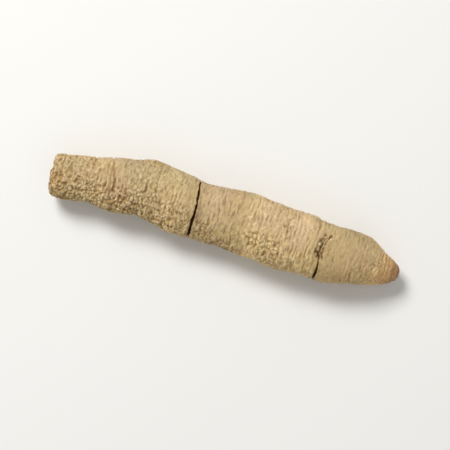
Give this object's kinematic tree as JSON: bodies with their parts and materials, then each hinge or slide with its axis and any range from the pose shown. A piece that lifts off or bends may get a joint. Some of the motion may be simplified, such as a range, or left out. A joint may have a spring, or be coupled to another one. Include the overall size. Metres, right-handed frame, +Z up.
{
  "type": "morinda root",
  "caption": "Dried morinda root lying on its side: a slightly curved, wrinkled cylinder with cross cracks, a rounded broken end and a tapering blunt tip.",
  "frame": {"origin": "bottom centre of the root's bounding box, on the surface that it rests on", "axes": "+X along the root towards its tip, +Z up, +Y towards the far edge as seen in the picture"},
  "size_m": [0.0904, 0.0176, 0.0137],
  "materials": {
    "bark": "matte"
  },
  "bodies": {
    "root": {"morinda_root": "bark"}
  },
  "joints": []
}
